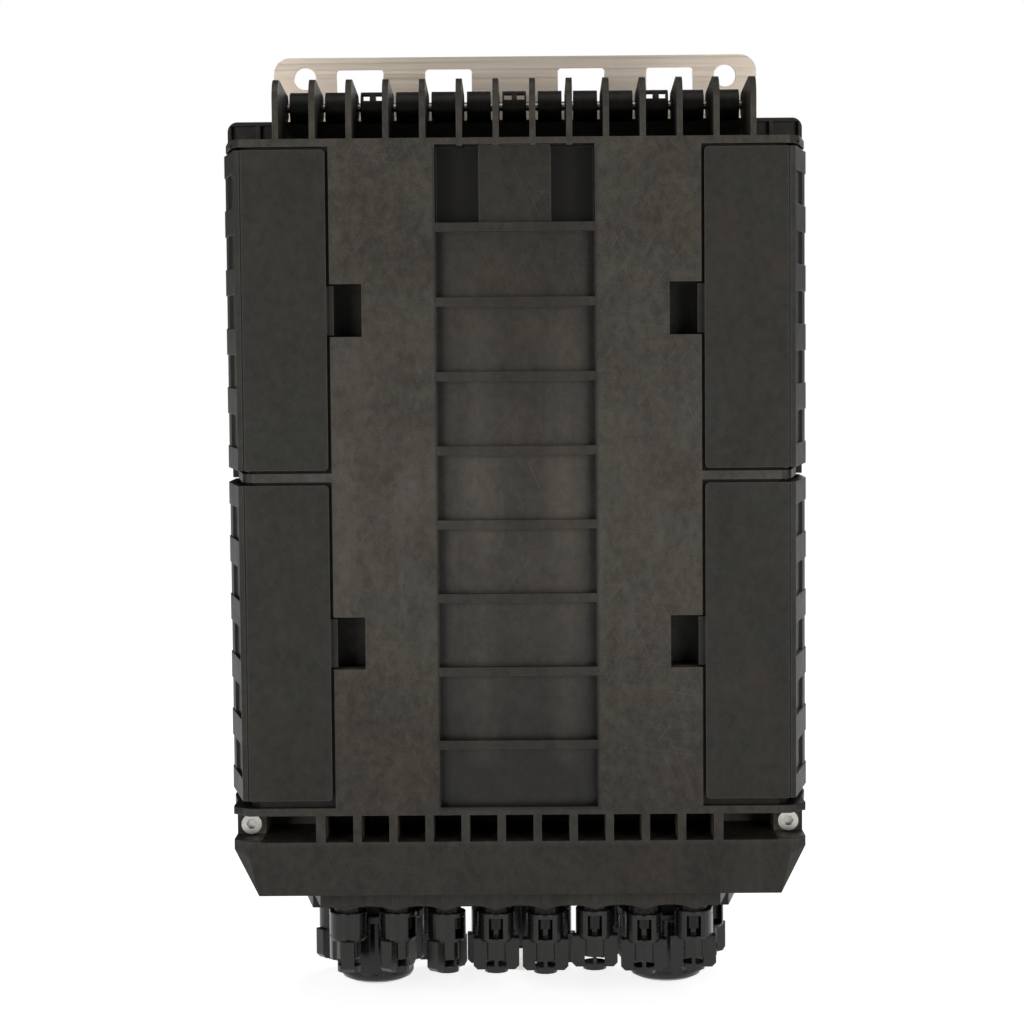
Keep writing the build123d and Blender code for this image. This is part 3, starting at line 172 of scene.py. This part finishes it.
def moulded_plastic(name, colour, roughness, clouds=0.3, tone=0.06, scratches=0.35, dust=0.3, edge_wear_and_glint=0.5,
                    edge_radius=0.5 * MM, gloss=0.22, rubbed_and_glow=0.0, shaded_recess=None, recess_painted_shade=(), darkened=(),
                    painted_light=()):
    """Moulded plastic with clouds, fine grain, scratches, dust, and edges lighter with wear and painted
    highlight.

    A shaded recess box stays smoother than the rest and is darkened as painted shade, with more painted shade
    in its own boxes inside.
    Darkened boxes are darker wherever they are, mostly painted shade, and painted-light boxes are lighter
    wherever they are, as painted highlights and painted fill light."""
    material, tree, output = new_tree(name)
    rounded = node(tree, "ShaderNodeBevel", {"Radius": edge_radius}, samples=6).outputs[0]
    shade, mottle = flow_clouds(tree)
    base = clouded_colour(tree, colour, shade, clouds, tone)
    marks_and_glints = math_node(tree, "MAXIMUM", scratch_marks(tree, scratches), dust_specks(tree, dust))
    # Lighter edges: wear and painted highlight
    marks_and_glints = math_node(tree, "MAXIMUM", marks_and_glints, worn_and_lit_edges(tree, rounded, edge_wear_and_glint))
    if rubbed_and_glow:
        # Painted highlight: the front is lighter at its middle height, where the lamps' glow falls, and worn
        # marks gather there too
        worn = span(tree, noise(tree, (95.0, 95.0, 24.0), 5.0, 0.7, distortion=1.2), 0.52, 0.74, 0.0, rubbed_and_glow)
        in_glow_band = inside(tree, *glow_band)
        marks_and_glints = math_node(tree, "MAXIMUM", marks_and_glints, math_node(tree, "MULTIPLY", worn, in_glow_band))
        base = mix_colour(tree, math_node(tree, "MULTIPLY", in_glow_band, 0.12), base, grey(colour, 2.4))
    pale = grey([0.75 * c + 0.075 for c in colour], 1.0)
    # Marks and painted edge highlights turn the colour paler
    base = mix_colour(tree, marks_and_glints, base, pale)
    rough = span(tree, shade, 0.0, 1.0, roughness + 0.07, roughness - 0.07)
    rough = math_node(tree, "MULTIPLY_ADD", marks_and_glints, 0.08, rough)
    shine = gloss
    if shaded_recess:
        in_shaded_recess = inside(tree, *shaded_recess, 0.3 * MM)
        # Painted shade: the recess is darker; it is also smoother and glossier
        base = mix_colour(tree, math_node(tree, "MULTIPLY", in_shaded_recess, 0.25), base, BLACK)
        rough = math_node(tree, "MULTIPLY_ADD", in_shaded_recess, -0.13, rough)
        shine = math_node(tree, "MULTIPLY_ADD", in_shaded_recess, 0.06, gloss)
        # More painted shade in the recess's own boxes
        base = tinge(tree, base, recess_painted_shade, BLACK, in_shaded_recess)
    # Darker colour in the darkened boxes, mostly painted shade
    base = tinge(tree, base, darkened, BLACK)
    # Painted highlights and painted fill light in the painted-light boxes
    base = tinge(tree, base, painted_light, grey(colour, 3.0), span(tree, mottle, 0.0, 1.0, 0.7, 1.0))
    bumps = noise(tree, (1500.0, 1500.0, 1500.0), 3.0, 0.6)
    bump = node(tree, "ShaderNodeBump", {"Strength": 0.12, "Distance": 0.05 * MM, "Height": bumps,
                                         "Normal": rounded}).outputs[0]
    shader = node(tree, "ShaderNodeBsdfPrincipled", {"Base Color": base, "Roughness": rough, "Normal": bump,
                                                     "Specular IOR Level": shine})
    tree.links.new(shader.outputs[0], output.inputs[0])
    return material


def brushed_metal(name, colour, roughness, along=(6.0, 600.0, 900.0)):
    """Rolled or turned steel with fine lines along one direction and faint stains."""
    material, tree, output = new_tree(name)
    rounded = node(tree, "ShaderNodeBevel", {"Radius": 0.3 * MM}, samples=4).outputs[0]
    fine = noise(tree, along, 4.0, 0.6)
    stains = span(tree, noise(tree, (40.0, 40.0, 40.0), 4.0, 0.6), 0.35, 0.7)
    shade = math_node(tree, "MULTIPLY_ADD", stains, 0.2, math_node(tree, "MULTIPLY", fine, 0.25))
    base = mix_colour(tree, shade, grey(colour, 1.05), grey(colour, 0.6))
    rough = span(tree, fine, 0.3, 0.7, roughness - 0.07, roughness + 0.1)
    bump = node(tree, "ShaderNodeBump", {"Strength": 0.12, "Distance": 0.03 * MM, "Height": fine,
                                         "Normal": rounded}).outputs[0]
    shader = node(tree, "ShaderNodeBsdfPrincipled", {"Base Color": base, "Roughness": rough, "Normal": bump,
                                                     "Metallic": 1.0})
    tree.links.new(shader.outputs[0], output.inputs[0])
    return material


def woven_strap(name, colour):
    """A narrow woven band."""
    material, tree, output = new_tree(name)
    where = place(tree, (1.0, 1.0, 1.0))
    weft = node(tree, "ShaderNodeTexWave", {"Vector": where, "Scale": 900.0}, bands_direction="Z")
    warp = node(tree, "ShaderNodeTexWave", {"Vector": where, "Scale": 500.0}, bands_direction="X")
    weave = math_node(tree, "MULTIPLY", weft.outputs["Fac"], warp.outputs["Fac"])
    base = mix_colour(tree, weave, grey(colour, 0.7), grey(colour, 1.5))
    bump = node(tree, "ShaderNodeBump", {"Strength": 0.5, "Distance": 0.2 * MM, "Height": weave}).outputs[0]
    shader = node(tree, "ShaderNodeBsdfPrincipled", {"Base Color": base, "Roughness": 0.85, "Normal": bump})
    tree.links.new(shader.outputs[0], output.inputs[0])
    return material


def zone(x0, x1, y0, y1, z0, z1, soft, share):
    """A box in millimetres with a soft border, and how strongly it acts."""
    return (x0 * MM, y0 * MM, z0 * MM), (x1 * MM, y1 * MM, z1 * MM), soft * MM, share


# Levels of the part in millimetres, from its front to its rear and from its top to its bottom
before_front = cad_box[0].y / MM - 0.5
behind_panel = -96.0
seat_level = -94.6
rung_back = -94.3
recess_level = -94.0
pocket_level = -89.0
far_back = -40.0
recess_back = -50.0
cover_top = -31.0
rungs_top = -33.0
rungs_foot = -253.5
ladder_foot = -254.4
cover_foot = -254.6
hood_top = -255.6
hood_foot = -264.0
skirt_top = -266.0
below_all = -330.0
ladder_half = 27.0
past_ladder = 40.0
seat_start = 62.2
seat_end = 99.0
past_sides = 110.0


def recess_band(x0, x1, z0, z1, soft, share):
    return zone(x0, x1, recess_level, recess_back, z0, z1, soft, share)


# A patch of painted highlight on the front of the panels
def painted_glint_patch(x0, x1, z0, z1, soft, share):
    return zone(x0, x1, before_front, behind_panel, z0, z1, soft, share)


# The front's middle height, which gets a painted highlight where the lamps' glow falls
glow_band = ((-1.0, -1.0, -165.0 * MM), (1.0, -92.0 * MM, -135.0 * MM), 70.0 * MM)
# The ladder recess: painted shade, and a smoother finish
ladder = ((-ladder_half * MM, recess_level * MM, ladder_foot * MM),
          (ladder_half * MM, recess_back * MM, cover_top * MM))
# Lighter colour standing in for light: painted highlights and painted fill light
zones_of_painted_light = [
    # Painted highlights: upright bands down the ladder's crowned floor
    recess_band(-14, -10, -162, -137, 7, 0.2),
    recess_band(14, 18, -162, -137, 7, 0.2),
    recess_band(-13, -11, -235, -90, 6, 0.16),
    recess_band(15, 17, -235, -90, 6, 0.16),
    # Painted highlights: glint patches on the two panels
    painted_glint_patch(-59.5, -57, -190, -130, 4, 0.2),
    painted_glint_patch(-39.5, -37.5, -158, -145, 7, 0.13),
    painted_glint_patch(40, 42, -165, -140, 8, 0.13),
    # Painted fill light in the pockets of the hood, where the lamps don't reach
    zone(-90, 90, -93, far_back, hood_foot, hood_top, 0.2, 1.0),
]
ladder_painted_shade = [
    # Painted shade at the ends, the lowest cells and the top cell
    recess_band(-past_ladder, -25, -260, -30, 4, 0.4),
    recess_band(25, past_ladder, -260, -30, 4, 0.4),
    recess_band(-past_ladder, past_ladder, -300, -235, 60, 0.62),
    recess_band(-past_ladder, past_ladder, -50, 0, 40, 0.2),
]
darker = [
    # Painted shade in the deep pockets and pry notches
    zone(-66, 66, pocket_level, far_back, -254, 0, 0.3, 0.7),
    # Painted shade on the seats under the latches
    zone(-seat_end, -seat_start, seat_level, far_back, cover_foot, cover_top, 0.3, 0.75),
    zone(seat_start, seat_end, seat_level, far_back, cover_foot, cover_top, 0.3, 0.75),
    # Rungs
    zone(-ladder_half, ladder_half, before_front, rung_back, rungs_foot, rungs_top, 0.3, 0.4),
    # Painted shade towards the lower end of the front, and on the skirt
    zone(-past_sides, past_sides, -100, -88, -300, -262, 60, 0.3),
    zone(-past_sides, past_sides, -100, far_back, below_all, skirt_top, 1.5, 0.3),
]
latch_painted_shade = [
    # Painted shade on the border behind the front plate, and towards the lower end
    zone(-200, 200, -95.5, 0, -300, 0, 0.3, 0.55),
    zone(-200, 200, -110, 0, -300, -270, 60, 0.2),
]

looks = {
    "housing_plastic": moulded_plastic("cover_plastic", (0.0475, 0.0415, 0.033), 0.47, clouds=0.5, tone=0.045,
                                       rubbed_and_glow=0.5, scratches=0.5, shaded_recess=ladder, recess_painted_shade=ladder_painted_shade,
                                       darkened=darker, painted_light=zones_of_painted_light),
    "latch_plastic": moulded_plastic("latch_plastic", (0.024, 0.0218, 0.0172), 0.5, clouds=0.35, tone=0.07,
                                     scratches=0.15, dust=0.2, edge_wear_and_glint=1.0, darkened=latch_painted_shade),
    "port_plastic": moulded_plastic("port_plastic", (0.0068, 0.0068, 0.0056), 0.26, clouds=0.3,
                                    scratches=0.15, dust=0.2, edge_wear_and_glint=0.25, edge_radius=0.8 * MM,
                                    gloss=0.36),
    "adapter_plastic": moulded_plastic("adapter_plastic", (0.008, 0.008, 0.007), 0.45, scratches=0.05),
    "frame_plastic": moulded_plastic("frame_plastic", (0.05, 0.05, 0.05), 0.5, scratches=0.05),
    "tray_plastic": moulded_plastic("tray_plastic", (0.62, 0.62, 0.60), 0.4, clouds=0.05, tone=0.01,
                                    scratches=0.02),
    "lid_plastic": moulded_plastic("lid_plastic", (0.66, 0.68, 0.69), 0.18, clouds=0.03, tone=0.01,
                                   scratches=0.02),
    "seal_rubber": moulded_plastic("seal_rubber", (0.03, 0.03, 0.03), 0.75, scratches=0.0, dust=0.1),
    "stainless_plate": brushed_metal("stainless_plate", (0.84, 0.725, 0.605), 0.34),
    "steel_fasteners": brushed_metal("steel_fasteners", (0.46, 0.44, 0.41), 0.3, along=(300.0, 300.0, 300.0)),
    "valve_metal": brushed_metal("valve_metal", (0.74, 0.73, 0.70), 0.24, along=(200.0, 200.0, 200.0)),
    "strap_fabric": woven_strap("strap_fabric", (0.03, 0.03, 0.03)),
}

# The tub behind the cover gets its own copy of the plastic, darker than the cover's front.
tub_plastic = moulded_plastic("tub_plastic", (0.027, 0.024, 0.0195), 0.47, clouds=0.4)

for part in frame["record"]["subparts"]:
    obj = nodes[part["node"]]
    obj.data.materials.clear()
    obj.data.materials.append(tub_plastic if part["node"] == "base_shell" else looks[part["material_slot"]])


# Floor, light and camera

def white_for_camera(tree, output, diffuse, glow):
    """Shows white to the camera and to reflections, and a plain diffuse colour to everything else."""
    path = node(tree, "ShaderNodeLightPath")
    seen = math_node(tree, "MAXIMUM", path.outputs["Is Camera Ray"], path.outputs["Is Glossy Ray"])
    seen = math_node(tree, "MAXIMUM", seen, path.outputs["Is Transmission Ray"])
    surface = node(tree, "ShaderNodeBsdfDiffuse", {"Color": diffuse}).outputs[0]
    light = node(tree, "ShaderNodeEmission", {"Strength": math_node(tree, "MULTIPLY", seen, glow)}).outputs[0]
    both = node(tree, "ShaderNodeAddShader", {0: surface, 1: light}).outputs[0]
    tree.links.new(both, output.inputs[0])


floor_mesh = bpy.data.meshes.new("floor")
floor_z = cad_box[0].z - 0.5 * MM
reach = 12.0

# The floor glows more with distance, where the lamps no longer light it, so that no horizon shows.
glow_near, glow_far = 0.84, 0.97
glow_from, glow_to = 0.4, 2.4
floor_mesh.from_pydata([(-reach, -reach, floor_z), (reach, -reach, floor_z), (reach, reach, floor_z),
                        (-reach, reach, floor_z)], [], [(0, 1, 2, 3)])
floor = bpy.data.objects.new("floor", floor_mesh)
bpy.context.scene.collection.objects.link(floor)
floor_material, floor_tree, floor_output = new_tree("floor_pale")
beside = node(floor_tree, "ShaderNodeVectorMath", {0: place(floor_tree, (1.0, 1.0, 0.0))},
              operation="LENGTH")
glow = span(floor_tree, beside.outputs["Value"], glow_from, glow_to, glow_near, glow_far)
white_for_camera(floor_tree, floor_output, (0.8, 0.8, 0.8, 1.0), glow)
floor_mesh.materials.append(floor_material)

world = bpy.data.worlds.new("studio")
bpy.context.scene.world = world
world.use_nodes = True
sky = world.node_tree
sky.nodes.clear()
sky_light = 0.07
path = node(sky, "ShaderNodeLightPath")
shown = math_node(sky, "MAXIMUM", path.outputs["Is Camera Ray"], path.outputs["Is Transmission Ray"])
strength = span(sky, shown, 0.0, 1.0, sky_light, 1.0)
back = node(sky, "ShaderNodeBackground", {"Color": WHITE, "Strength": strength})
sky.links.new(back.outputs[0], node(sky, "ShaderNodeOutputWorld").inputs[0])


def soft_box(name, place_at, aim, width, height, power):
    """A large area lamp, with its sizes in metres and its power in watts."""
    lamp = bpy.data.lights.new(name, "AREA")
    lamp.shape = "RECTANGLE"
    lamp.size, lamp.size_y, lamp.energy = width, height, power
    holder = bpy.data.objects.new(name, lamp)
    holder.location = place_at
    holder.rotation_euler = (Vector(aim) - Vector(place_at)).to_track_quat("-Z", "Y").to_euler()
    bpy.context.scene.collection.objects.link(holder)


middle = (0.0, -0.06, -0.16)
soft_box("light_left", (-0.46, -0.8, -0.06), middle, 0.3, 0.45, 2.3)
soft_box("light_right", (0.46, -0.8, -0.06), middle, 0.3, 0.45, 2.3)
soft_box("light_back", (0.5, 1.2, 0.45), middle, 0.9, 0.7, 5.0)
soft_box("light_top", (0.0, -0.45, 1.1), middle, 1.4, 0.8, 4.8)

# The camera stands where the photograph was taken from, worked out from the outline's taper.
pitch, yaw, roll = math.radians(3.8), math.radians(0.38), math.radians(0.47)
distance = 0.85
focal_pixels, picture_pixels = 2552.0, 1024.0
aim = Vector((-1.7 * MM, -97.5 * MM, -153.3 * MM))
ahead = Vector((-math.sin(yaw) * math.cos(pitch), math.cos(yaw) * math.cos(pitch), -math.sin(pitch)))
level = ahead.cross(Vector((0.0, 0.0, 1.0))).normalized()
upright = level.cross(ahead)
across = level * math.cos(roll) - upright * math.sin(roll)
up = level * math.sin(roll) + upright * math.cos(roll)
camera = bpy.data.objects.new("camera", bpy.data.cameras.new("camera"))
camera.data.sensor_width = 36.0
camera.data.lens = focal_pixels / picture_pixels * camera.data.sensor_width
camera.matrix_world = Matrix.Translation(aim - ahead * distance) @ Matrix(
    (across, up, -ahead)).transposed().to_4x4()
bpy.context.scene.collection.objects.link(camera)
bpy.context.scene.camera = camera
bpy.context.scene.view_settings.view_transform = "Standard"
